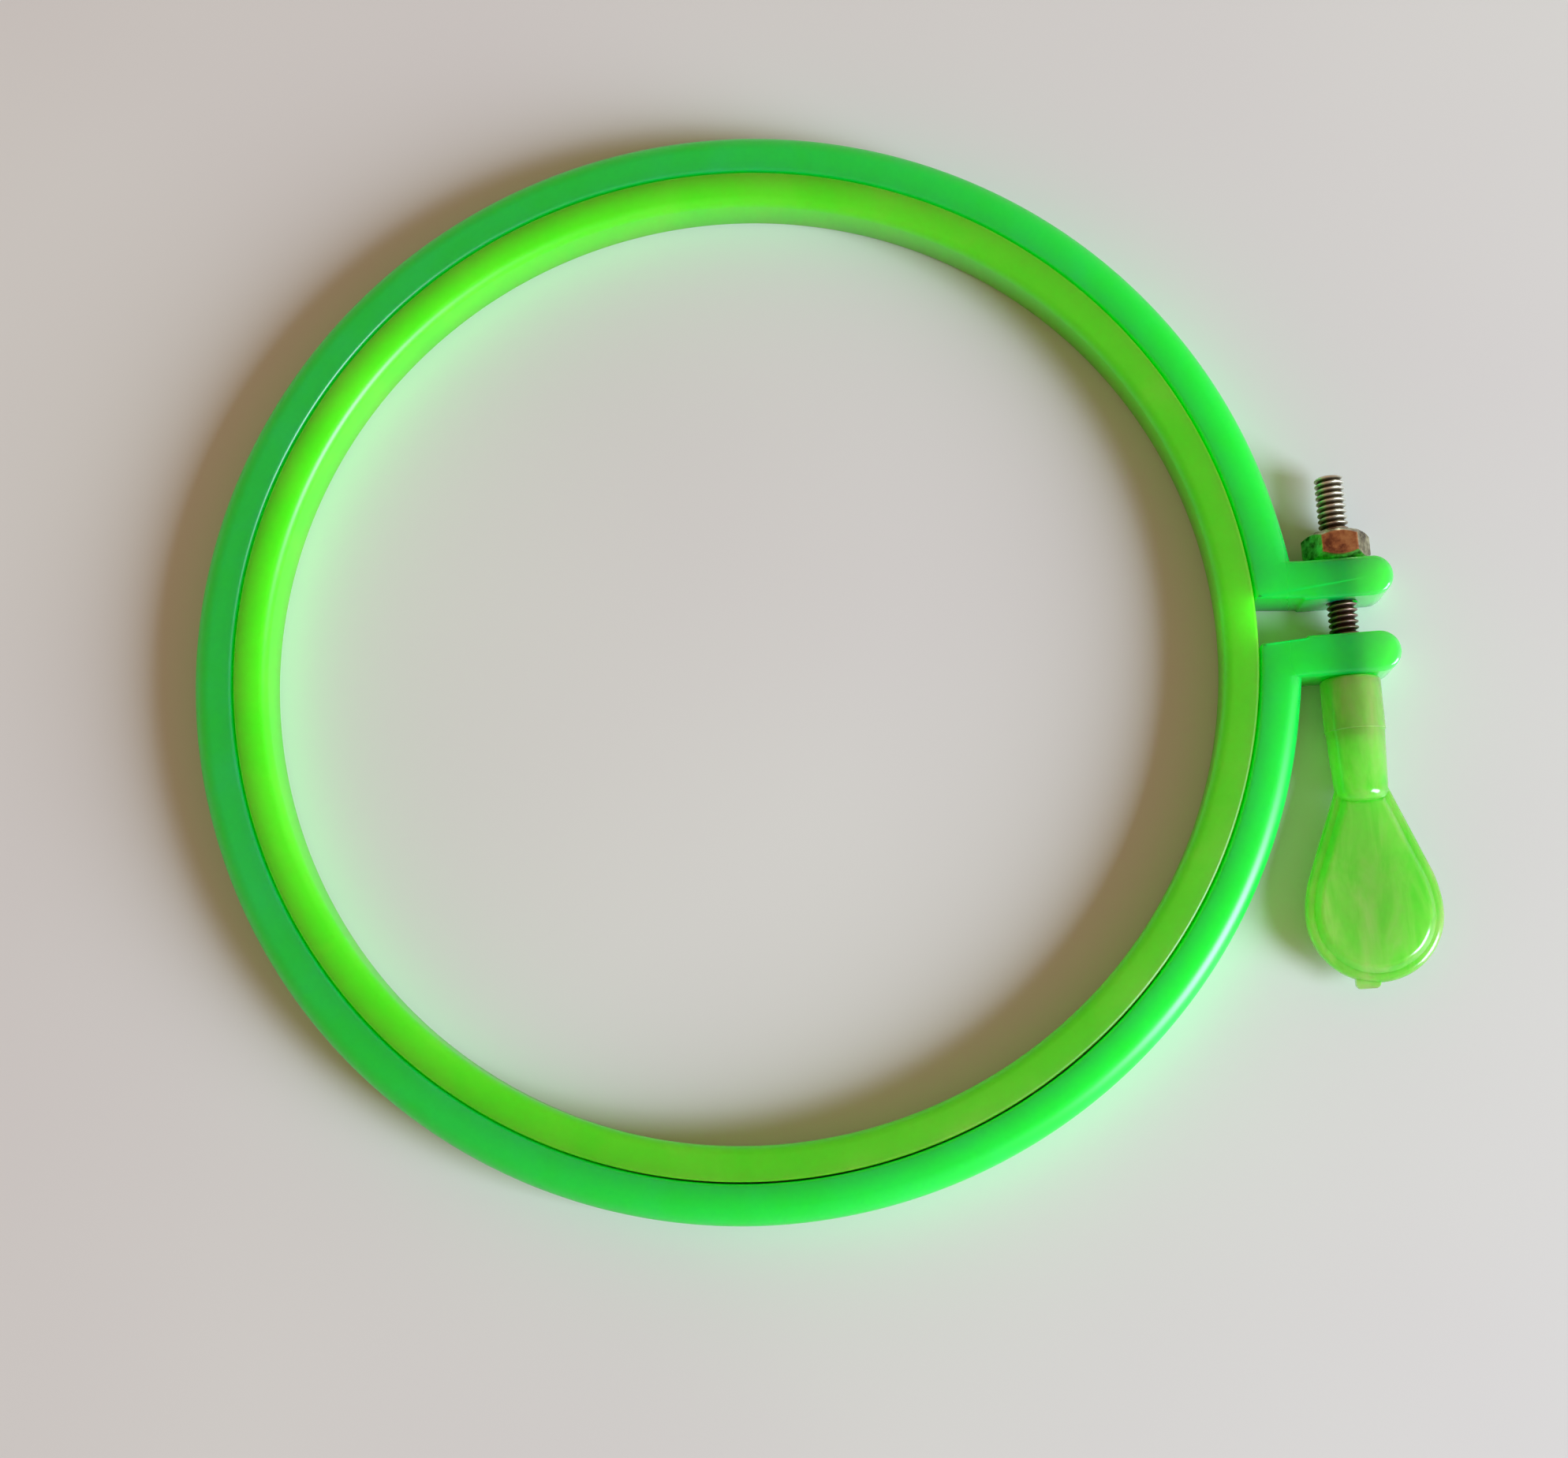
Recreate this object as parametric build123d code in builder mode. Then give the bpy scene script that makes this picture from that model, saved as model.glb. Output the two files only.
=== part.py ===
from build123d import *
from math import asin
from math import atan
from math import degrees
from math import radians
from math import tan
import os

# A small embroidery hoop of clear green plastic. An outer ring, split at one place, is
# drawn round an inner ring by a screw through its two lugs. The screw is turned by a
# thumb grip that is moulded over its end, and runs in a hexagon nut on the far lug.
#
# Frame, in millimetres: the origin is the middle of the opening, half way up the rings.
# +Z is up, +X points through the split, and the screw lies along Y, with its bare end
# at +Y and its grip at -Y. The screw's axis crosses the X axis in the plane Z = 0.

os.makedirs("parts", exist_ok=True)

# Both rings
hoop_height = 8.4  # the rings are as high as each other and lie flush
work_radius = 63.5  # the clear opening of a five inch hoop
inner_wall = 4.6
outer_wall = 5.35
cloth_gap = 0.25  # radial, left for the cloth
inner_crown = 0.76  # chamfer of the inner ring towards the opening
inner_easing = 0.28  # chamfer on both corners of that chamfer
outer_crown = 1.41  # the same two on the outer ring, on its outside
outer_easing = 0.52
seam_chamfer = 0.3  # on both rings where they meet

# Lugs of the outer ring
clamp_gap = 4.8  # between the two bosses
lug_thickness = 5.4  # through a boss
boss_step = 0.25  # how far a boss stands out of its lug, towards the gap
gap_flare = 0.5  # how much further back each lug stands at the ring's inside
screw_offset = 6.3  # from the outer ring's outside to the screw's axis
lug_overhang = 6.5  # from the screw's axis to the lugs' tips
boss_lead = 5.4  # from the boss's step to the screw's axis
lug_chamfer = 0.6  # along the top and bottom edges of the lugs
overrun = 1.0  # how far a cut or a joined root runs past its face

# Screw of 5/32 inch with 32 threads to the inch, drawn as wide as its crests
screw_diameter = 3.969
screw_reach = 7.8  # bare end beyond the nut
screw_chamfer = 0.45
screw_bury = 7.8  # length inside the thumb grip
anchor_length = 3.0  # grooved stretch that keys the screw into the grip
anchor_margin = 0.6  # plain end beyond the grooves
groove_count = 10
groove_depth = 0.3
groove_width = 0.7  # at the screw's outside
turning_clearance = 0.08  # radial, of the screw in the lugs
bearing_clearance = 0.1  # between a lug's face and what turns or slides on it

# Nut, five sixteenths of an inch across its flats
nut_across_flats = 7.938
nut_sides = 6
nut_thickness = 3.9
nut_face_radius = 3.45  # of the round face that the chamfers leave at each end
nut_chamfer_angle = 38
nut_clearance = 0.05  # radial, of the bore on the screw
nut_countersink = 0.35  # at both ends of the bore

# Thumb grip: a neck that runs out over a flat, drop-shaped paddle
neck_radius = 4.0
neck_chamfer = 0.6
collar_length = 7.0  # the neck's upper stretch
collar_step = 0.12  # radial, from the collar down to the tapered stretch
taper_length = 7.8
taper_end_radius = 3.5
nose_length = 1.8  # end of the neck, over the paddle
nose_rounding = 1.6
paddle_radius = 8.9  # of the paddle's round end, which is also its widest place
paddle_length = 16.4  # from the neck's taper to the middle of the round end
flank_drop = 2.8  # from that middle back up to the corner of the flank
flank_share = 0.9  # share of that drop that the flank's rounding takes
rim_thickness = 2.3
rim_width = 1.15
rim_chamfer = 0.5
panel_rise = 1.0  # height of the raised panel over the rim, on each side
panel_slope = 0.85  # chamfer round the panel
nub_offset = 1.7  # of the moulding nub from the grip's axis, towards the ring
nub_width = 3.2
nub_height = 0.7  # beyond the paddle's round end
nub_root = 2.0  # length inside the paddle
nub_thickness = 1.3
nub_rounding = 0.5
moulding_gap = 0.03  # shrinkage gap between the grip and the screw inside it
key_gap = 0.06  # the same gap at the keys, measured from the screw's axis

full_turn = 360  # degrees
tolerance = 0.001  # for picking edges by their place

# Places that follow from the sizes above
half_height = hoop_height / 2
inner_outside = work_radius + inner_wall
outer_inside = inner_outside + cloth_gap
outer_outside = outer_inside + outer_wall
screw_x = outer_outside + screw_offset
lug_tip_x = screw_x + lug_overhang
tip_radius = lug_thickness / 2
tip_middle_x = lug_tip_x - tip_radius
boss_x = screw_x - boss_lead
boss_y = clamp_gap / 2
lug_y = boss_y + lug_thickness
lug_middle_y = boss_y + lug_thickness / 2
screw_radius = screw_diameter / 2
nut_y = lug_y + bearing_clearance
screw_tip_y = nut_y + nut_thickness + screw_reach
grip_y = -lug_y - bearing_clearance
screw_foot_y = grip_y - screw_bury
anchor_y = screw_foot_y + anchor_margin
collar_end_y = grip_y - collar_length
taper_end_y = collar_end_y - taper_length
paddle_y = taper_end_y - paddle_length
paddle_end_y = paddle_y - paddle_radius
nub_x = screw_x - nub_offset
screw_axis = Axis((screw_x, 0, 0), (0, 1, 0))


def across_screw(y):
    """The plane square to the screw's axis at the place y along it, facing +Y."""
    return Plane(origin=(screw_x, y, 0), x_dir=(1, 0, 0), z_dir=(0, 1, 0))


def round_ring(edge, radius):
    """Whether an edge is an arc of the given radius."""
    return edge.geom_type == GeomType.CIRCLE and abs(edge.radius - radius) < tolerance


# Inner ring, with its crown towards the opening
with BuildPart() as inner_hoop:
    with BuildSketch(Plane.XZ):
        with Locations((work_radius + inner_wall / 2, 0)):
            Rectangle(inner_wall, hoop_height)
        chamfer(vertices().group_by(Axis.X)[0], inner_crown)
        inner_corners = vertices().filter_by_position(Axis.X, work_radius, work_radius + inner_crown)
        chamfer(inner_corners, inner_easing)
        chamfer(vertices().group_by(Axis.X)[-1], seam_chamfer)
    revolve(axis=Axis.Z)

inner_hoop.part.label = "inner_hoop"
export_step(inner_hoop.part, "parts/inner_hoop.step")

# Outer ring. Its two lugs come first: their gap faces draw together from the ring to
# the step of the boss, and their top and bottom edges are eased all round but at the root.
with BuildPart() as outer_hoop:
    with BuildSketch(Plane.XY.offset(-half_height)):
        with BuildLine():
            Polyline(
                (tip_middle_x, boss_y),
                (boss_x, boss_y),
                (boss_x - boss_step, boss_y + boss_step),
                (outer_inside - overrun, boss_y + boss_step + gap_flare),
                (outer_inside - overrun, lug_y),
                (tip_middle_x, lug_y),
            )
            ThreePointArc((tip_middle_x, lug_y), (lug_tip_x, lug_middle_y), (tip_middle_x, boss_y))
        make_face()
        Circle(outer_inside, mode=Mode.SUBTRACT)
        mirror(about=Plane.XZ)
    extrude(amount=hoop_height)
    outline = outer_hoop.edges().group_by(Axis.Z)[0] + outer_hoop.edges().group_by(Axis.Z)[-1]
    chamfer([edge for edge in outline if not round_ring(edge, outer_inside)], lug_chamfer)

    # The split ring, which ends inside the lugs
    split_angle = degrees(asin(lug_middle_y / outer_inside))
    with BuildSketch(Plane.XZ.rotated((0, 0, split_angle))):
        with Locations((outer_inside + outer_wall / 2, 0)):
            Rectangle(outer_wall, hoop_height)
        chamfer(vertices().group_by(Axis.X)[-1], outer_crown)
        outer_corners = vertices().filter_by_position(Axis.X, outer_outside - outer_crown, outer_outside)
        chamfer(outer_corners, outer_easing)
    revolve(axis=Axis.Z, revolution_arc=full_turn - 2 * split_angle)
    seam = outer_hoop.edges().group_by(Axis.Z)[0] + outer_hoop.edges().group_by(Axis.Z)[-1]
    chamfer([edge for edge in seam if round_ring(edge, outer_inside)], seam_chamfer)

    # The screw's hole through both lugs
    with Locations(across_screw(0)):
        Cylinder(screw_radius + turning_clearance, 2 * (lug_y + overrun), mode=Mode.SUBTRACT)

outer_hoop.part.label = "outer_hoop"
export_step(outer_hoop.part, "parts/outer_hoop.step")

# Screw: a plain bar as wide as the thread's crests, with a grooved foot
with BuildSketch() as groove:
    Polygon(
        (groove_depth, groove_width / 2 + groove_depth),
        (-groove_depth, groove_width / 2 - groove_depth),
        (-groove_depth, groove_depth - groove_width / 2),
        (groove_depth, -groove_width / 2 - groove_depth),
        align=None,
    )

with BuildPart() as clamp_screw:
    with BuildSketch(across_screw(screw_foot_y)):
        Circle(screw_radius)
    extrude(amount=screw_tip_y - screw_foot_y)
    chamfer(clamp_screw.edges().sort_by(Axis.Y)[-1], screw_chamfer)
    with BuildSketch(across_screw(anchor_y)):
        with PolarLocations(screw_radius, groove_count):
            add(groove.sketch)
    extrude(amount=anchor_length, mode=Mode.SUBTRACT)

clamp_screw.part.label = "clamp_screw"
export_step(clamp_screw.part, "parts/clamp_screw.step")

# Nut: a hexagon with a flat upwards, both ends turned to a cone and a round face
turned_radius = nut_across_flats / 2 + overrun
turned_depth = (turned_radius - nut_face_radius) * tan(radians(nut_chamfer_angle))
with BuildPart() as hex_nut:
    with BuildSketch(across_screw(nut_y)):
        RegularPolygon(nut_across_flats / 2, nut_sides, major_radius=False)
    extrude(amount=nut_thickness)
    with BuildSketch(Plane.XY.move(Location((screw_x, nut_y, 0)))):
        Polygon(
            (0, 0),
            (nut_face_radius, 0),
            (turned_radius, turned_depth),
            (turned_radius, nut_thickness - turned_depth),
            (nut_face_radius, nut_thickness),
            (0, nut_thickness),
            align=None,
        )
    revolve(axis=screw_axis, mode=Mode.INTERSECT)
    with BuildSketch(across_screw(nut_y)):
        Circle(screw_radius + nut_clearance)
    extrude(amount=nut_thickness, mode=Mode.SUBTRACT)
    mouths = hex_nut.edges().filter_by(GeomType.CIRCLE).filter_by(
        lambda edge: abs(edge.radius - screw_radius - nut_clearance) < tolerance
    )
    chamfer(mouths, nut_countersink)

hex_nut.part.label = "hex_nut"
export_step(hex_nut.part, "parts/hex_nut.step")

# Thumb grip
flank_y = paddle_y + flank_drop
flank_turn = atan((paddle_radius - taper_end_radius) / (taper_end_y - flank_y))
flank_rounding = flank_share * flank_drop / tan(flank_turn / 2)
with BuildPart() as thumb_grip:
    # The paddle's rim, a drop whose straight flanks run into its round end
    with BuildSketch(Plane.XY.offset(-rim_thickness / 2)) as drop:
        with BuildLine():
            Polyline(
                (screw_x, taper_end_y),
                (screw_x + taper_end_radius, taper_end_y),
                (screw_x + paddle_radius, flank_y),
                (screw_x + paddle_radius, paddle_y),
            )
            RadiusArc(
                (screw_x + paddle_radius, paddle_y),
                (screw_x, paddle_end_y),
                paddle_radius,
            )
            mirror(about=Plane.YZ.offset(screw_x))
        make_face()
        flanks = vertices().filter_by_position(Axis.Y, flank_y - tolerance, flank_y + tolerance)
        fillet(flanks, flank_rounding)
    extrude(amount=rim_thickness)
    chamfer(thumb_grip.edges().group_by(Axis.Z)[0], rim_chamfer)
    chamfer(thumb_grip.edges().group_by(Axis.Z)[-1], rim_chamfer)

    # The panel, which stands out of the rim on both sides
    with BuildSketch(Plane.XY.offset(-rim_thickness / 2 - panel_rise)):
        add(drop.sketch_local)
        offset(amount=-rim_width)
    extrude(amount=rim_thickness + 2 * panel_rise)
    chamfer(thumb_grip.edges().group_by(Axis.Z)[0], panel_slope)
    chamfer(thumb_grip.edges().group_by(Axis.Z)[-1], panel_slope)

    # The neck: a collar, a tapered stretch and a rounded nose over the panel
    with BuildSketch(Plane.XY):
        Polygon(
            (screw_x, taper_end_y - nose_length),
            (screw_x, grip_y),
            (screw_x + neck_radius, grip_y),
            (screw_x + neck_radius, collar_end_y),
            (screw_x + neck_radius - collar_step, collar_end_y - collar_step),
            (screw_x + taper_end_radius, taper_end_y),
            (screw_x + taper_end_radius, taper_end_y - nose_length),
            align=None,
        )
        chamfer(vertices().group_by(Axis.Y)[-1].sort_by(Axis.X)[-1], neck_chamfer)
        fillet(vertices().group_by(Axis.Y)[0].sort_by(Axis.X)[-1], nose_rounding)
    revolve(axis=screw_axis)

    # The moulding nub at the paddle's end
    with BuildSketch(Plane.XY.offset(-nub_thickness / 2)):
        with Locations((nub_x, paddle_end_y - nub_height)):
            Rectangle(nub_width, nub_height + nub_root, align=(Align.CENTER, Align.MIN))
        fillet(vertices().group_by(Axis.Y)[0], nub_rounding)
    extrude(amount=nub_thickness)

    # The screw's bed, with a key in each of the grooves of the screw's foot
    with BuildSketch(across_screw(screw_foot_y - moulding_gap)):
        Circle(screw_radius + moulding_gap)
    extrude(amount=screw_bury + overrun, mode=Mode.SUBTRACT)
    with BuildSketch(across_screw(anchor_y + moulding_gap)):
        with PolarLocations(screw_radius + key_gap, groove_count):
            add(groove.sketch)
    extrude(amount=anchor_length - 2 * moulding_gap)

thumb_grip.part.label = "thumb_grip"
export_step(thumb_grip.part, "parts/thumb_grip.step")
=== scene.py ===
from math import asin, atan2, cos, hypot, pi, radians, sin

import bmesh
import bpy
from mathutils import Matrix, Vector


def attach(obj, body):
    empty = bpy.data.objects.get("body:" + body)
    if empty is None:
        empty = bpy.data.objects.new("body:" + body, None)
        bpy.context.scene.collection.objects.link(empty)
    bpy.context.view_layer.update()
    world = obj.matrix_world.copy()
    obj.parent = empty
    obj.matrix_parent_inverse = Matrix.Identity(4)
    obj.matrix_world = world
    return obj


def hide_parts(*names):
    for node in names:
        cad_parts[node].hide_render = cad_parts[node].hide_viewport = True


# A small embroidery hoop of clear, dyed plastic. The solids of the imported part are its
# construction; here each of them gets a finely rounded piece in its place, at the same
# size, and the surfaces of real mouldings and plated steel.

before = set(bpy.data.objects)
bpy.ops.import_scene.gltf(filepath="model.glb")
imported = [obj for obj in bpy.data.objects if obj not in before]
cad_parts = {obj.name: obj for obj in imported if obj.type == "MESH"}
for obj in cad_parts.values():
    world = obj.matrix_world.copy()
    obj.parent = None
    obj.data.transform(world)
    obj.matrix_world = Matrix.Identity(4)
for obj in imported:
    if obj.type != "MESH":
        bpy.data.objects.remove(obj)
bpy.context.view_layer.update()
bpy.ops.object.select_all(action="DESELECT")

mm = 0.001
same_place = 0.01 * mm  # points and lengths that are closer than this are the same
fine_reach = 0.001 * mm  # the same for an outline's ends and the thread's profile
thread_weld = 0.0005 * mm
cut_weld = 0.0001 * mm
ring_weld = 0.00002 * mm

# Sizes of the real hoop and its roundings
half_height = 4.2 * mm
inner_inside = 63.5 * mm
inner_outside = 68.1 * mm
outer_inside = 68.35 * mm
outer_outside = 73.7 * mm
inner_crown = 1.3 * mm
crown = 2.4 * mm  # of the outer ring, on its outside
seam_rounding = 0.35 * mm  # of the inner ring, towards the outer one
seam_edge = 0.5 * mm  # of the outer ring, towards the inner one
screw_x = 80.0 * mm
lug_tip_x = 86.5 * mm
boss_x = 74.6 * mm
boss_y = 2.4 * mm
boss_step = 0.25 * mm
gap_flare = 0.43 * mm  # how much wider the gap is at the ring's inside than at the bosses
boss_rounding = 0.12 * mm
mouth_rounding = 0.3 * mm
lug_y = 7.8 * mm
lug_root = 1.2 * mm  # the straight start of a lug's side, where the crown has drawn in
lug_edge = 0.6 * mm
lug_tip_rounding = 2.69 * mm
gap_edge = 0.4 * mm
crest_radius = 1.984 * mm
hole_radius = 2.064 * mm
drill_reach = 10.0 * mm
pitch = 0.79375 * mm
screw_tip_y = 19.6 * mm
screw_foot_y = -15.7 * mm
tip_chamfer = 0.5 * mm
screw_blank_margin = 0.02 * mm
overrun = 1.0 * mm  # that a tool stands past what it cuts
nut_y = 7.9 * mm
nut_thickness = 3.9 * mm
nut_half_flats = 3.969 * mm
nut_bore = 2.034 * mm
nut_edge = 0.18 * mm
nut_blank_margin = 0.05 * mm
nut_turned = 0.885 * mm  # length of the turned cone at each end
nut_turned_share = 0.75  # its width at the nut's end
nut_countersink = 0.35 * mm
countersink_length = 0.45 * mm  # of the tool, which stands out of the nut by 0.1 mm
countersink_share = 1.22
thread_clearance = 0.05 * mm
grip_y = -7.9 * mm
collar_end_y = -14.9 * mm
collar_step = 0.12 * mm
collar_share = 0.97  # of the neck's radius that is left past the collar
taper_end_y = -22.7 * mm
paddle_y = -39.1 * mm
paddle_end_y = -48.0 * mm
paddle_radius = 8.9 * mm
neck_radius = 4.0 * mm
neck_edge = 0.6 * mm
taper_radius = 3.5 * mm
taper_share = 0.902  # of the neck's radius past the collar that is left at the taper's end
nose_length = 1.8 * mm
nose_rounding = 1.6 * mm
flank_drop = 2.8 * mm
flank_rounding = 2.6 * mm
rim_half = 1.15 * mm
rim_rounding = 0.85 * mm
rim_land = 0.25 * mm
panel_slope = 0.8 * mm
panel_rise = 1.0 * mm
panel_rounding = 0.35 * mm
moulding_gap = 0.03 * mm
bed_length = 9.0 * mm
nub_offset = 1.7 * mm
nub_stand = 0.7 * mm  # how far it stands out of the paddle's round end
nub_size = (3.2 * mm, 2.7 * mm, 1.3 * mm)
nub_rounding = 0.62 * mm


# Modelling by hand: small steps that the pieces below share

def start_piece(name):
    """Names the primitive that was just added and opens it for shaping."""
    piece = bpy.context.active_object
    piece.name = name
    piece.data.name = name
    bpy.ops.object.transform_apply(location=True, rotation=True, scale=True)
    bpy.ops.object.mode_set(mode="EDIT")
    return piece


def close_piece():
    """Leaves edit mode."""
    bpy.ops.object.mode_set(mode="OBJECT")


def pick(kind, test):
    """Selects the vertices, edges or faces of the open mesh whose middle passes the test.

    The test gets the middle and the normal, or for an edge the way from end to end.
    """
    bpy.ops.mesh.select_mode(type={"verts": "VERT", "edges": "EDGE", "faces": "FACE"}[kind])
    bpy.ops.mesh.select_all(action="DESELECT")
    mesh = bmesh.from_edit_mesh(bpy.context.edit_object.data)
    mesh.normal_update()
    for element in getattr(mesh, kind):
        if kind == "verts":
            middle, facing = element.co, element.normal
        elif kind == "edges":
            middle = (element.verts[0].co + element.verts[1].co) / 2
            facing = element.verts[1].co - element.verts[0].co
        else:
            middle, facing = element.calc_center_median(), element.normal
        if test(middle, facing):
            element.select_set(True)
    mesh.select_flush_mode()
    bmesh.update_edit_mesh(bpy.context.edit_object.data)


def pick_all():
    """Selects the whole open mesh."""
    bpy.ops.mesh.select_all(action="SELECT")


def face_outwards():
    """Turns every face of the open mesh outwards."""
    pick_all()
    bpy.ops.mesh.normals_make_consistent(inside=False)


def near(a, b, reach=same_place):
    """Whether two lengths are the same but for rounding."""
    return abs(a - b) < reach


def finish_with(piece, kind, **settings):
    """Adds a modifier with its settings and applies it."""
    bpy.context.view_layer.objects.active = piece
    bpy.ops.object.modifier_add(type=kind)
    modifier = piece.modifiers[-1]
    for setting, value in settings.items():
        setattr(modifier, setting, value)
    bpy.ops.object.modifier_apply(modifier=modifier.name)


def single_out(piece):
    """Makes a piece the only one selected, and the active one."""
    bpy.ops.object.select_all(action="DESELECT")
    piece.select_set(True)
    bpy.context.view_layer.objects.active = piece


def combine(piece, tool, operation):
    """Joins a tool to a piece or cuts it with one, and removes the tool."""
    finish_with(piece, "BOOLEAN", object=tool, operation=operation, solver="EXACT")
    single_out(tool)
    bpy.ops.object.delete()
    single_out(piece)


def smooth(piece, angle=30):
    """Smooths the shading over the roundings and leaves sharp corners sharp."""
    single_out(piece)
    bpy.ops.object.shade_smooth_by_angle(angle=radians(angle))


def hand_over(piece, body, node, surface):
    """Puts a finished piece in the place of its solid, with its surface."""
    single_out(piece)
    bpy.ops.object.transform_apply(location=True, rotation=True, scale=True)
    piece.data.materials.clear()
    piece.data.materials.append(surface)
    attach(piece, body)
    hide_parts(node)


def add_rod(name, radius, low_y, high_y, sides=96):
    """A round bar along the screw's axis between two places, open for shaping."""
    bpy.ops.mesh.primitive_cylinder_add(vertices=sides, radius=radius, depth=high_y - low_y,
                                        location=(screw_x, (low_y + high_y) / 2, 0),
                                        rotation=(pi / 2, 0, 0))
    return start_piece(name)


def draw_out(length, share, centre_y):
    """Extrudes the picked end face along the screw's axis and narrows or widens it round it."""
    bpy.ops.mesh.extrude_region_move(TRANSFORM_OT_translate={"value": (0, length, 0)})
    bpy.ops.transform.resize(value=(share, 1, share), center_override=(screw_x, centre_y, 0))


# Colours and material nodes

def linear(colour):
    """An sRGB hex colour as the linear values that a shader takes."""
    channels = [int(colour[i:i + 2], 16) / 255 for i in (1, 3, 5)]
    return tuple(c / 12.92 if c <= 0.04045 else ((c + 0.055) / 1.055) ** 2.4 for c in channels) + (1.0,)


def add_node(tree, kind, links=None, **settings):
    """Adds a node: settings whose name is an input go to that input, links join others to it."""
    node = tree.nodes.new(kind)
    for setting, value in settings.items():
        if hasattr(node, setting):
            setattr(node, setting, value)
        else:
            node.inputs[setting.replace("_", " ")].default_value = value
    for socket, source in (links or {}).items():
        tree.links.new(source, node.inputs[socket])
    return node


def new_material(name):
    """An empty material and its output node."""
    surface = bpy.data.materials.new(name)
    surface.use_nodes = True
    tree = surface.node_tree
    tree.nodes.clear()
    return surface, tree, tree.nodes.new("ShaderNodeOutputMaterial")


def ramp_colours(node, stops):
    """Sets the colours of a ramp from pairs of place and hex colour."""
    ramp = node.color_ramp
    while len(ramp.elements) > 1:
        ramp.elements.remove(ramp.elements[-1])
    ramp.elements[0].position = stops[0][0]
    ramp.elements[0].color = linear(stops[0][1])
    for place, colour in stops[1:]:
        ramp.elements.new(place).color = linear(colour)


def dyed_polystyrene(name, dyes, clear_share, depth_mm, flow_mm, gloss, streak=1.0, painted_tip_glow=0.0):
    """Injection moulded crystal polystyrene with a bright green dye.

    Light runs some millimetres inside before it comes out, so a wall that faces the window
    lights the top beside it, and the side away from it stays deep green. The melt's flow
    leaves faint streaks of stronger dye and the mould's polish a gloss with an orange peel.
    The lugs and the grip are clearer than the rings, and the lugs' ends are mixed towards a pale green, a
    painted glow for the window light they catch.
    """
    surface, tree, output = new_material(name)
    place = add_node(tree, "ShaderNodeTexCoord")
    run = add_node(tree, "ShaderNodeMapping", {"Vector": place.outputs["Object"]})
    run.inputs["Scale"].default_value = (1, streak, 1)
    flow = add_node(tree, "ShaderNodeTexNoise", {"Vector": run.outputs["Vector"]},
                    Scale=1 / (flow_mm * mm), Detail=3.0, Roughness=0.55, Distortion=0.6)
    dye = add_node(tree, "ShaderNodeValToRGB", {"Fac": flow.outputs["Fac"]})
    ramp_colours(dye, list(zip((0.30, 0.52, 0.74), dyes)))
    peel = add_node(tree, "ShaderNodeTexNoise", {"Vector": place.outputs["Object"]},
                    Scale=1 / (0.9 * mm), Detail=2.0, Roughness=0.5)
    relief = add_node(tree, "ShaderNodeBump", {"Height": peel.outputs["Fac"]},
                      Strength=0.10, Distance=0.02 * mm)
    parts = add_node(tree, "ShaderNodeSeparateXYZ", {"Vector": place.outputs["Object"]})
    # Past the ring, on the lugs and the grip, the surface is glossier and the plastic clearer
    polish = add_node(tree, "ShaderNodeMapRange", {"Value": parts.outputs["X"]},
                      From_Min=70.0 * mm, From_Max=78.0 * mm, To_Min=gloss, To_Max=0.10)
    wear = add_node(tree, "ShaderNodeMath", {0: flow.outputs["Fac"], 2: polish.outputs["Result"]},
                    operation="MULTIPLY_ADD")
    wear.inputs[1].default_value = 0.08
    clear = add_node(tree, "ShaderNodeMapRange", {"Value": parts.outputs["X"]},
                     interpolation_type="SMOOTHSTEP",
                     From_Min=72.0 * mm, From_Max=80.0 * mm, To_Min=0.05, To_Max=clear_share)
    # Painted light: from the screw to the lugs' ends the colour is mixed towards a pale green, a painted
    # glow where the ends catch the window.
    tip = add_node(tree, "ShaderNodeMapRange", {"Value": parts.outputs["X"]},
                   From_Min=screw_x, From_Max=lug_tip_x, To_Max=painted_tip_glow)
    tint = add_node(tree, "ShaderNodeMix", {"Factor": tip.outputs["Result"]}, data_type="RGBA")
    tree.links.new(dye.outputs["Color"], tint.inputs["A"])
    tint.inputs["B"].default_value = linear("#70FF70")
    shader = add_node(tree, "ShaderNodeBsdfPrincipled", {
        "Base Color": tint.outputs["Result"],
        "Roughness": wear.outputs["Value"],
        "Normal": relief.outputs["Normal"],
        "Transmission Weight": clear.outputs["Result"],
    })
    shader.inputs["IOR"].default_value = 1.59
    shader.inputs["Subsurface Weight"].default_value = 1.0
    shader.inputs["Subsurface Radius"].default_value = (0.10, 1.0, 0.15)
    # The free path of green light inside is some 0.08 of this scale, about 2 mm
    shader.inputs["Subsurface Scale"].default_value = depth_mm * mm
    tree.links.new(shader.outputs["BSDF"], output.inputs["Surface"])
    return surface


# The outer hoop's dye is a blue green, its lugs let the screw's shadow through, and their ends get a
# painted pale glow.
outer_plastic = dyed_polystyrene("clear_green_polystyrene", ("#04FC3C", "#06FF46", "#0CFF54"),
                                 clear_share=0.16, depth_mm=26.0, flow_mm=14.0, gloss=0.30, painted_tip_glow=0.75)
# The inner hoop has a yellow green dye and glows more at its wall.
inner_plastic = dyed_polystyrene("clear_yellow_green_polystyrene", ("#50F810", "#5AFC16", "#68FF22"),
                                 clear_share=0.06, depth_mm=20.0, flow_mm=12.0, gloss=0.34)
# The grip is the palest and the clearest of the three, streaked along its length.
grip_plastic = dyed_polystyrene("clear_light_green_polystyrene", ("#70F040", "#92FE5A", "#AEFF74"),
                                clear_share=0.45, depth_mm=24.0, flow_mm=3.0, gloss=0.18, streak=0.3)


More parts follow.
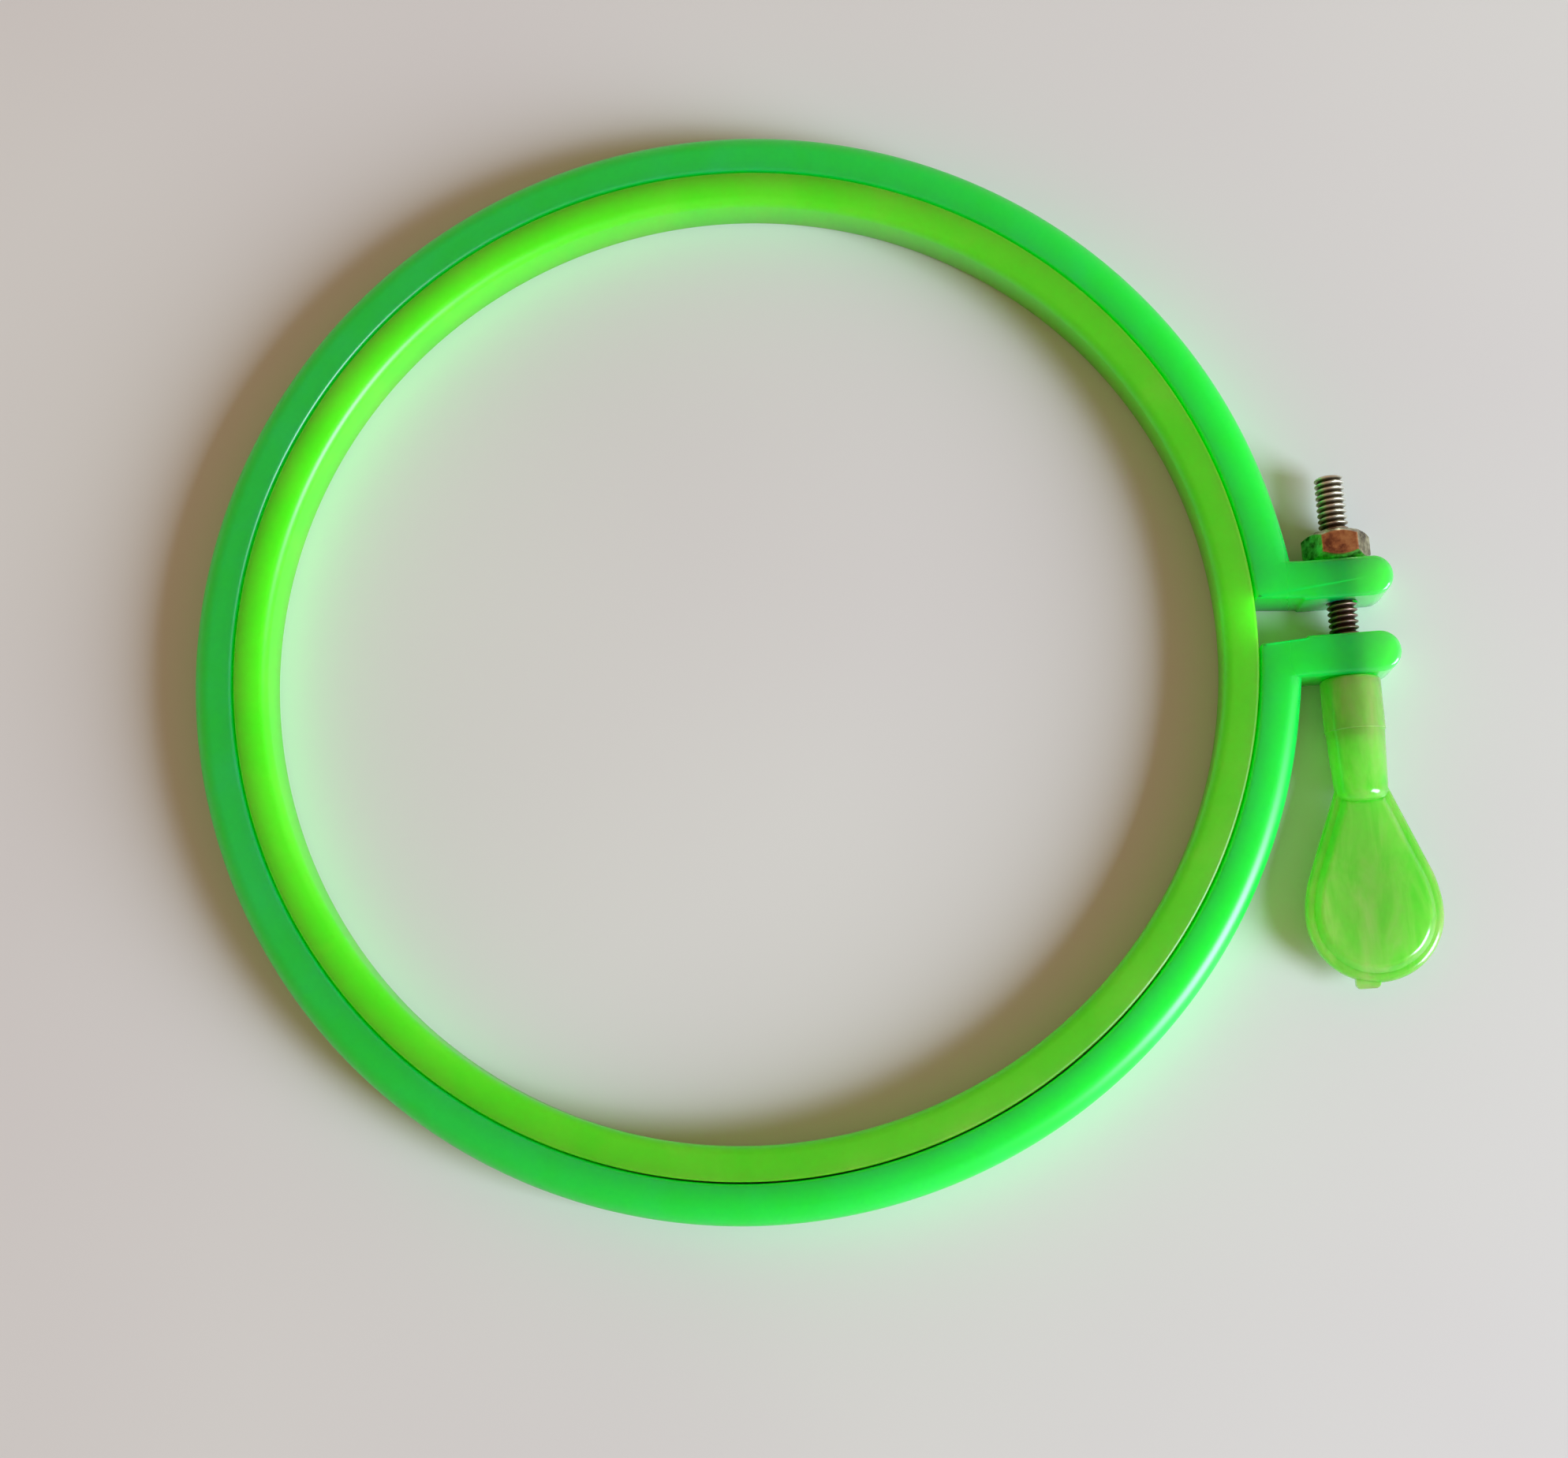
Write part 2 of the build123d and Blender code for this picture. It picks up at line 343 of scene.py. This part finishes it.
def zinc_plated_steel():
    """Cold rolled steel wire, thread rolled and zinc plated, gone dull and brown in places.

    The plating is a pale grey with a soft gloss at the bare end. Between the lugs and at the nut it has
    worn to a purple brown. The thread's roots are darkened with painted shade, and the crests keep the
    plating's colour.
    """
    surface, tree, output = new_material("zinc_plated_rolled_steel")
    place = add_node(tree, "ShaderNodeTexCoord")
    parts = add_node(tree, "ShaderNodeSeparateXYZ", {"Vector": place.outputs["Object"]})
    stain = add_node(tree, "ShaderNodeTexNoise", {"Vector": place.outputs["Object"]},
                     Scale=1 / (0.9 * mm), Detail=4.0, Roughness=0.62)
    patch = add_node(tree, "ShaderNodeMath", {0: stain.outputs["Fac"]}, operation="MULTIPLY_ADD")
    patch.inputs[1].default_value = 5.0 * mm
    tree.links.new(parts.outputs["Y"], patch.inputs[2])
    along = add_node(tree, "ShaderNodeMapRange", {"Value": patch.outputs["Value"]},
                     From_Min=-13.5 * mm, From_Max=22.5 * mm)
    plating = add_node(tree, "ShaderNodeValToRGB", {"Fac": along.outputs["Result"]})
    ramp_colours(plating, [(0.0, "#8C8676"), (0.32, "#9A8478"), (0.38, "#96767A"), (0.52, "#9C7A74"),
                           (0.74, "#6E5246"), (0.79, "#AE9E8C"), (0.83, "#D8D5C8"), (1.0, "#E8E6DC")])
    across = add_node(tree, "ShaderNodeMapping", {"Vector": place.outputs["Object"]})
    across.inputs["Location"].default_value = (-screw_x, 0, 0)
    across.inputs["Scale"].default_value = (1, 0, 1)
    radius = add_node(tree, "ShaderNodeVectorMath", {0: across.outputs["Vector"]}, operation="LENGTH")
    # Painted shade: the plating is darkened towards the thread's roots.
    height = add_node(tree, "ShaderNodeMapRange", {"Value": radius.outputs["Value"]},
                      From_Min=crest_radius - 0.48 * mm, From_Max=crest_radius - 0.02 * mm)
    root_shade = add_node(tree, "ShaderNodeValToRGB", {"Fac": height.outputs["Result"]})
    ramp_colours(root_shade, [(0.0, "#5C5444"), (0.30, "#A29A88"), (0.62, "#ECEAE2"), (1.0, "#FFFFFF")])
    colour = add_node(tree, "ShaderNodeMix", data_type="RGBA", blend_type="MULTIPLY")
    colour.inputs["Factor"].default_value = 1.0
    tree.links.new(plating.outputs["Color"], colour.inputs["A"])
    tree.links.new(root_shade.outputs["Color"], colour.inputs["B"])
    dull = add_node(tree, "ShaderNodeMapRange", {"Value": stain.outputs["Fac"]},
                    To_Min=0.28, To_Max=0.52)
    shader = add_node(tree, "ShaderNodeBsdfPrincipled", {
        "Base Color": colour.outputs["Result"],
        "Roughness": dull.outputs["Result"],
    })
    shader.inputs["Metallic"].default_value = 1.0
    tree.links.new(shader.outputs["BSDF"], output.inputs["Surface"])
    return surface


def tarnished_steel():
    """A cold formed steel nut whose plating has worn and tarnished to copper on its flats.

    The turned ends keep a pale yellowish plating. The two flats that fingers and the table rub are
    coppery brown and blotched, and grime darkens the plating in spots.
    """
    surface, tree, output = new_material("tarnished_plated_steel")
    place = add_node(tree, "ShaderNodeTexCoord")
    stain = add_node(tree, "ShaderNodeTexNoise", {"Vector": place.outputs["Object"]},
                     Scale=1 / (1.2 * mm), Detail=5.0, Roughness=0.62)
    copper = add_node(tree, "ShaderNodeValToRGB", {"Fac": stain.outputs["Fac"]})
    ramp_colours(copper, [(0.32, "#D6A878"), (0.48, "#B8805A"), (0.64, "#7A4C38")])
    plating = add_node(tree, "ShaderNodeValToRGB", {"Fac": stain.outputs["Fac"]})
    ramp_colours(plating, [(0.35, "#CCC8A8"), (0.50, "#A29A7C"), (0.64, "#54493A")])
    parts = add_node(tree, "ShaderNodeSeparateXYZ", {"Vector": place.outputs["Object"]})
    level = add_node(tree, "ShaderNodeMath", {0: parts.outputs["Z"]}, operation="ABSOLUTE")
    flat = add_node(tree, "ShaderNodeMapRange", {"Value": level.outputs["Value"]},
                    From_Min=nut_half_flats - 0.22 * mm, From_Max=nut_half_flats - 0.05 * mm)
    colour = add_node(tree, "ShaderNodeMix", {"Factor": flat.outputs["Result"]}, data_type="RGBA")
    tree.links.new(plating.outputs["Color"], colour.inputs["A"])
    tree.links.new(copper.outputs["Color"], colour.inputs["B"])
    dull = add_node(tree, "ShaderNodeMapRange", {"Value": stain.outputs["Fac"]},
                    To_Min=0.22, To_Max=0.48)
    shader = add_node(tree, "ShaderNodeBsdfPrincipled", {
        "Base Color": colour.outputs["Result"],
        "Roughness": dull.outputs["Result"],
    })
    shader.inputs["Metallic"].default_value = 1.0
    tree.links.new(shader.outputs["BSDF"], output.inputs["Surface"])
    return surface


screw_steel = zinc_plated_steel()
nut_steel = tarnished_steel()


# Inner hoop: a plain closed ring, crowned towards the opening

inner_steps = 288


def turn_ring(name, inside, outside, inside_rounding, outside_rounding, steps):
    """A closed ring: its section is drawn at +X, rounded and spun once round the Z axis."""
    wall = outside - inside
    bpy.ops.mesh.primitive_plane_add(size=1, location=((inside + outside) / 2, 0, 0),
                                     rotation=(pi / 2, 0, 0))
    bpy.context.active_object.scale = (wall, 2 * half_height, 1)
    ring = start_piece(name)
    pick("verts", lambda place, facing: near(place.x, inside))
    bpy.ops.mesh.bevel(offset=inside_rounding, segments=7, affect="VERTICES")
    pick("verts", lambda place, facing: near(place.x, outside))
    bpy.ops.mesh.bevel(offset=outside_rounding, segments=4, affect="VERTICES")
    pick_all()
    bpy.ops.mesh.delete(type="ONLY_FACE")
    pick_all()
    bpy.ops.mesh.spin(steps=steps, angle=2 * pi, center=(0, 0, 0), axis=(0, 0, 1))
    pick_all()
    bpy.ops.mesh.remove_doubles(threshold=ring_weld)
    face_outwards()
    close_piece()
    smooth(ring)
    return ring


inner_ring = turn_ring("inner_ring", inner_inside, inner_outside, inner_crown, seam_rounding,
                       steps=inner_steps)
hand_over(inner_ring, "inner_hoop", "inner_hoop", inner_plastic)


# Outer hoop: ring and lugs are drawn as one flat outline from above, raised to their
# height and rounded along every edge. The ring is a strip spun round the axis.

outer_steps = 344
root_angle = asin(lug_y / outer_outside)
ramp_angle = radians(9.0)  # from here on the crown has its full width


def on_circle(radius, angle):
    """The point on a circle round the Z axis, at the given angle from +X."""
    return (radius * cos(angle), radius * sin(angle))


root = on_circle(outer_outside, root_angle)
mouth_y = boss_y + boss_step + gap_flare
mouth_angle = asin(mouth_y / outer_inside)
mouth = on_circle(outer_inside, mouth_angle)
lug_corners = [root, (root[0] + lug_root, lug_y), (lug_tip_x, lug_y), (lug_tip_x, boss_y),
               (boss_x, boss_y), (boss_x - boss_step, boss_y + boss_step), mouth]
inner_run = [on_circle(outer_inside, mouth_angle + (root_angle - mouth_angle) * share)
             for share in (0.35, 0.68, 1)]


def draw_on(points):
    """Extrudes the picked vertex from point to point."""
    for start, end in zip(points, points[1:]):
        step = (end[0] - start[0], end[1] - start[1], 0)
        bpy.ops.mesh.extrude_vertices_move(TRANSFORM_OT_translate={"value": step})


def at_corner(points):
    """A test for the outline's corners at the given points, on both sides of the gap."""
    return lambda place, facing: any(hypot(place.x - x, abs(place.y) - y) < same_place for x, y in points)


# One edge across the wall is left of a thin plane and taken to the first lug's root
bpy.ops.mesh.primitive_plane_add(size=1, location=((outer_inside + outer_outside) / 2, 0, -half_height))
bpy.context.active_object.scale = (outer_outside - outer_inside, mm, 1)
outer_ring = start_piece("outer_ring_with_lugs")
pick("verts", lambda place, facing: place.y < 0)
bpy.ops.mesh.delete(type="VERT")
pick_all()
bpy.ops.transform.translate(value=(0, -mm / 2, 0))
bpy.ops.transform.rotate(value=root_angle, orient_axis="Z", center_override=(0, 0, 0))
bpy.ops.mesh.spin(steps=outer_steps, angle=2 * pi - 2 * root_angle, center=(0, 0, 0), axis=(0, 0, 1))
for side in (1, -1):
    outline = [(x, side * y) for x, y in lug_corners + inner_run]
    pick("verts", lambda place, facing: hypot(place.x - root[0], place.y - side * root[1]) < same_place)
    draw_on(outline)
pick_all()
bpy.ops.mesh.remove_doubles(threshold=fine_reach)
for side in (1, -1):
    pick("edges", lambda place, facing: place.x > 0 and 0 < place.y * side < lug_y + same_place)
    bpy.ops.mesh.edge_face_add()
pick("verts", at_corner(lug_corners[2:4]))
bpy.ops.mesh.bevel(offset=lug_tip_rounding, segments=12, affect="VERTICES")
pick("verts", at_corner([mouth]))
bpy.ops.mesh.bevel(offset=mouth_rounding, segments=4, affect="VERTICES")
pick("verts", at_corner(lug_corners[4:6]))
bpy.ops.mesh.bevel(offset=boss_rounding, segments=3, affect="VERTICES")
pick_all()
bpy.ops.mesh.extrude_region_move(TRANSFORM_OT_translate={"value": (0, 0, 2 * half_height)})
face_outwards()
close_piece()

# Each edge's share of the crown's width. The crown draws in where it runs into a lug.
mouth_margin = 0.1 * mm
weights = outer_ring.data.attributes.new("bevel_weight_edge", "FLOAT", "EDGE")
for edge in outer_ring.data.edges:
    ends = [outer_ring.data.vertices[i].co for i in edge.vertices]
    middle = (ends[0] + ends[1]) / 2
    turn = abs(atan2(middle.y, middle.x))
    if not near(ends[0].z, ends[1].z):
        continue
    if all(near(end.xy.length, outer_outside) for end in ends):
        share = min(1, (turn - root_angle) / (ramp_angle - root_angle))
        width = lug_edge + (crown - lug_edge) * share
    elif all(near(end.xy.length, outer_inside) for end in ends):
        width = seam_edge
    elif near(ends[0].xy.length + ends[1].xy.length, outer_outside + outer_inside):
        continue
    elif abs(middle.y) < mouth_y + mouth_margin and middle.x < lug_tip_x - lug_tip_rounding - same_place:
        width = gap_edge
    else:
        width = lug_edge
    weights.data[edge.index].value = width / crown
finish_with(outer_ring, "BEVEL", limit_method="WEIGHT", width=crown, segments=8,
            use_clamp_overlap=False)

# The screw's hole through both lugs
drill = add_rod("lug_drill", hole_radius, -drill_reach, drill_reach, sides=64)
close_piece()
combine(outer_ring, drill, "DIFFERENCE")
smooth(outer_ring)
finish_with(outer_ring, "WEIGHTED_NORMAL", keep_sharp=True, weight=60)
hand_over(outer_ring, "outer_hoop", "outer_hoop", outer_plastic)


# Clamp screw: a real right-hand thread of 32 turns to the inch, wound once round for
# every pitch, and turned down to a chamfer at its tip.

thread_depth = 0.6134 * pitch  # of a 60 degree inch thread
turns = 46  # enough for the screw's whole length
thread_start = screw_foot_y - 0.5 * pitch
# The 60 degree profile with its flat crest and round root: sixteenths of the pitch from
# the middle of the root, and the share of the thread's depth that is reached there
thread_profile = ((2, 0.14), (3, 0.33), (4, 0.52), (5, 0.71), (6, 0.89), (7, 0.98), (8, 1.0))


def cap(end_y, outward):
    """Cuts the open thread square at a place along the screw and closes it there."""
    pick_all()
    bpy.ops.mesh.bisect(plane_co=(screw_x, end_y, 0), plane_no=(0, outward, 0), use_fill=True,
                        clear_outer=True, threshold=cut_weld)


def wind_thread(name, extra, low_y, high_y):
    """A bar with the screw's thread between two places, thicker by the extra radius.

    One edge of a plane, as long as the pitch, gets the thread's profile and is wound up.
    """
    root_radius = crest_radius - thread_depth + extra
    bpy.ops.mesh.primitive_plane_add(size=pitch, location=(root_radius - pitch / 2, 0, 0),
                                     rotation=(pi / 2, 0, 0))
    bar = start_piece(name)
    pick("verts", lambda place, facing: place.x < root_radius - pitch / 2)
    bpy.ops.mesh.delete(type="VERT")
    pick_all()
    bpy.ops.mesh.subdivide(number_cuts=15)
    for step, share in thread_profile:
        height = pitch / 2 - step * pitch / 16
        pick("verts", lambda place, facing: near(abs(place.z), height, fine_reach))
        bpy.ops.transform.translate(value=(thread_depth * share, 0, 0))
    close_piece()
    finish_with(bar, "SCREW", axis="Z", angle=2 * pi, screw_offset=pitch, iterations=turns,
                steps=32, render_steps=32, use_merge_vertices=True, merge_threshold=thread_weld)
    bpy.ops.object.mode_set(mode="EDIT")
    pick_all()
    bpy.ops.mesh.remove_doubles(threshold=thread_weld)
    pick_all()
    bpy.ops.transform.rotate(value=pi / 2, orient_axis="X", center_override=(0, 0, 0))
    bpy.ops.transform.translate(value=(screw_x, thread_start, 0))
    cap(low_y, -1)
    cap(high_y, 1)
    face_outwards()
    close_piece()
    return bar


thread_bar = wind_thread("clamp_screw_thread", 0, screw_foot_y, screw_tip_y)

# What the thread has in common with a turned blank is left, so its tip gets a chamfer
blank = add_rod("screw_blank", crest_radius + screw_blank_margin, screw_foot_y, screw_tip_y)
pick("verts", lambda place, facing: place.y < 0)
bpy.ops.transform.translate(value=(0, -overrun, 0))
pick("edges", lambda place, facing: near(place.y, screw_tip_y))
bpy.ops.mesh.bevel(offset=tip_chamfer, segments=2, affect="EDGES")
close_piece()
combine(thread_bar, blank, "INTERSECT")
smooth(thread_bar, angle=35)
hand_over(thread_bar, "screw", "clamp_screw", screw_steel)


# Nut: a hexagon with a flat upwards, turned to a cone at both ends, bored and tapped

nut_corner = nut_half_flats / cos(pi / 6)
nut_end_y = nut_y + nut_thickness
nut_middle_y = (nut_y + nut_end_y) / 2
bpy.ops.mesh.primitive_cylinder_add(vertices=6, radius=nut_corner, depth=nut_thickness,
                                    location=(screw_x, nut_middle_y, 0),
                                    rotation=(pi / 2, radians(30), 0))
nut = start_piece("tapped_hexagon_nut")
pick("edges", lambda place, facing: abs(facing.y) > 0.9 * nut_thickness)
bpy.ops.mesh.bevel(offset=nut_edge, segments=3, affect="EDGES")
close_piece()


def draw_out_both_ends(length, share):
    """Extrudes both end faces of the open bar away from its middle, narrowed or widened."""
    for outward in (1, -1):
        pick("faces", lambda place, facing: facing.y * outward > 0.9)
        draw_out(outward * length, share, nut_middle_y)


turned_blank = add_rod("nut_blank", nut_corner + nut_blank_margin, nut_y + nut_turned,
                       nut_end_y - nut_turned)
draw_out_both_ends(nut_turned, nut_turned_share)
close_piece()
combine(nut, turned_blank, "INTERSECT")

bore = add_rod("nut_countersinks", nut_bore, nut_y + nut_countersink, nut_end_y - nut_countersink)
draw_out_both_ends(countersink_length, countersink_share)
close_piece()
combine(nut, bore, "DIFFERENCE")

# The tap is the screw's own thread with a little clearance, so the two stay in step
tap = wind_thread("nut_tap", thread_clearance, nut_y - overrun, nut_end_y + overrun)
combine(nut, tap, "DIFFERENCE")
smooth(nut, angle=25)
hand_over(nut, "nut", "hex_nut", nut_steel)


# Thumb grip: a drop-shaped paddle with a raised panel, and a neck that runs out over it

flank_y = paddle_y + flank_drop
bpy.ops.mesh.primitive_circle_add(vertices=120, radius=paddle_radius,
                                  location=(screw_x, paddle_y, -rim_half))
grip = start_piece("thumb_grip_moulding")
pick("verts", lambda place, facing: place.y > paddle_y + same_place)
bpy.ops.mesh.delete(type="VERT")
for side in (1, -1):
    outline = [(side * paddle_radius, paddle_y), (side * paddle_radius, flank_y),
               (side * taper_radius, taper_end_y), (0, taper_end_y)]
    pick("verts", lambda place, facing: near(place.y, paddle_y) and (place.x - screw_x) * side > 0)
    draw_on(outline)
pick_all()
bpy.ops.mesh.remove_doubles(threshold=fine_reach)
bpy.ops.mesh.edge_face_add()
pick("verts", lambda place, facing: near(place.y, flank_y))
bpy.ops.mesh.bevel(offset=flank_rounding, segments=12, affect="VERTICES")
pick_all()
bpy.ops.mesh.extrude_region_move(TRANSFORM_OT_translate={"value": (0, 0, 2 * rim_half)})
face_outwards()
pick("edges", lambda place, facing: near(abs(place.z), rim_half) and abs(facing.z) < same_place)
bpy.ops.mesh.bevel(offset=rim_rounding, segments=7, affect="EDGES")
for outward in (1, -1):
    pick("faces", lambda place, facing: facing.z * outward > 0.999)
    bpy.ops.mesh.inset(thickness=rim_land, depth=0)
    bpy.ops.mesh.inset(thickness=panel_slope, depth=panel_rise)
panel_half = rim_half + panel_rise
pick("edges", lambda place, facing: near(abs(place.z), panel_half) and abs(facing.z) < same_place)
bpy.ops.mesh.bevel(offset=panel_rounding, segments=4, affect="EDGES")
close_piece()

# The neck steps down at the collar's end, tapers and ends in a round nose over the paddle
neck = add_rod("grip_neck", neck_radius, collar_end_y, grip_y)
pick("faces", lambda place, facing: facing.y < -0.9)
draw_out(-collar_step, collar_share, collar_end_y)
draw_out(taper_end_y - collar_end_y + collar_step, taper_share, taper_end_y)
draw_out(-nose_length, 1, taper_end_y)
pick("edges", lambda place, facing: near(place.y, taper_end_y - nose_length))
bpy.ops.mesh.bevel(offset=nose_rounding, segments=10, affect="EDGES")
pick("edges", lambda place, facing: near(place.y, grip_y))
bpy.ops.mesh.bevel(offset=neck_edge, segments=5, affect="EDGES")
close_piece()
combine(grip, neck, "UNION")

# The screw's foot lies in a bed that runs out through the grip's end
bed_end_y = screw_foot_y - moulding_gap
bed = add_rod("screw_bed", crest_radius + moulding_gap, bed_end_y, bed_end_y + bed_length)
close_piece()
combine(grip, bed, "DIFFERENCE")

# The moulding's gate was cut off at a small nub on the round end
nub_y = paddle_end_y - nub_stand + nub_size[1] / 2
bpy.ops.mesh.primitive_cube_add(size=1, location=(screw_x - nub_offset, nub_y, 0))
bpy.context.active_object.scale = nub_size
nub = start_piece("moulding_nub")
pick("edges", lambda place, facing: place.y < paddle_end_y)
bpy.ops.mesh.bevel(offset=nub_rounding, segments=6, affect="EDGES")
close_piece()
combine(grip, nub, "UNION")
smooth(grip)
finish_with(grip, "WEIGHTED_NORMAL", keep_sharp=True, weight=60)
hand_over(grip, "screw", "thumb_grip", grip_plastic)


# Floor, light and camera

floor_gap = 0.03 * mm
bpy.ops.mesh.primitive_plane_add(size=4.0, location=(0, 0, -half_height - floor_gap))
floor = start_piece("floor")
close_piece()
floor_paint, tree, output = new_material("matt_pale_table")
place = add_node(tree, "ShaderNodeTexCoord")
cloud = add_node(tree, "ShaderNodeTexNoise", {"Vector": place.outputs["Object"]}, Scale=9.0, Detail=2.0)
tint = add_node(tree, "ShaderNodeValToRGB", {"Fac": cloud.outputs["Fac"]})
ramp_colours(tint, [(0.3, "#CFCCCB"), (0.7, "#D3D3CF")])
paint = add_node(tree, "ShaderNodeBsdfPrincipled", {"Base Color": tint.outputs["Color"]})
paint.inputs["Roughness"].default_value = 0.6
tree.links.new(paint.outputs["BSDF"], output.inputs["Surface"])
floor.data.materials.append(floor_paint)

# A room lit by one window: dim and warm overhead, paler towards its walls
world = bpy.data.worlds.new("studio")
bpy.context.scene.world = world
world.use_nodes = True
tree = world.node_tree
toward = add_node(tree, "ShaderNodeTexCoord")
parts = add_node(tree, "ShaderNodeSeparateXYZ", {"Vector": toward.outputs["Generated"]})
room = add_node(tree, "ShaderNodeValToRGB", {"Fac": parts.outputs["Z"]})
ramp_colours(room, [(0.0, "#EBDAC4"), (0.25, "#C7A484"), (0.6, "#B69176"), (1.0, "#A18067")])
tree.links.new(room.outputs["Color"], tree.nodes["Background"].inputs["Color"])
tree.nodes["Background"].inputs["Strength"].default_value = 1.0

light_azimuth = radians(-27)
light_height = radians(27)
light_reach = 1.6
light_place = Vector((cos(light_azimuth) * cos(light_height), sin(light_azimuth) * cos(light_height),
                      sin(light_height))) * light_reach
bpy.ops.object.light_add(type="AREA", location=light_place)
window = bpy.context.active_object
window.name = "window"
window.rotation_euler = light_place.to_track_quat("Z", "Y").to_euler()
window.data.shape = "RECTANGLE"
window.data.size = 0.62
window.data.size_y = 1.0
window.data.energy = 46.0
window.data.color = (0.69, 0.87, 1.0)

eye = Vector((0.01998, -0.06888, 0.3414))
aim = Vector((0.00476, -0.00817, -0.0042))
up_hint = Vector((0.0661, 0.9978, 0))
back = (eye - aim).normalized()
right = up_hint.cross(back).normalized()
above = back.cross(right)
bpy.ops.object.camera_add()
camera = bpy.context.active_object
camera.name = "camera"
camera.matrix_world = Matrix((
    (right.x, above.x, back.x, eye.x),
    (right.y, above.y, back.y, eye.y),
    (right.z, above.z, back.z, eye.z),
    (0, 0, 0, 1),
))
camera.data.sensor_width = 36
camera.data.lens = 59.76
camera.data.clip_start = 0.01
bpy.context.scene.camera = camera
bpy.context.scene.view_settings.view_transform = "Standard"
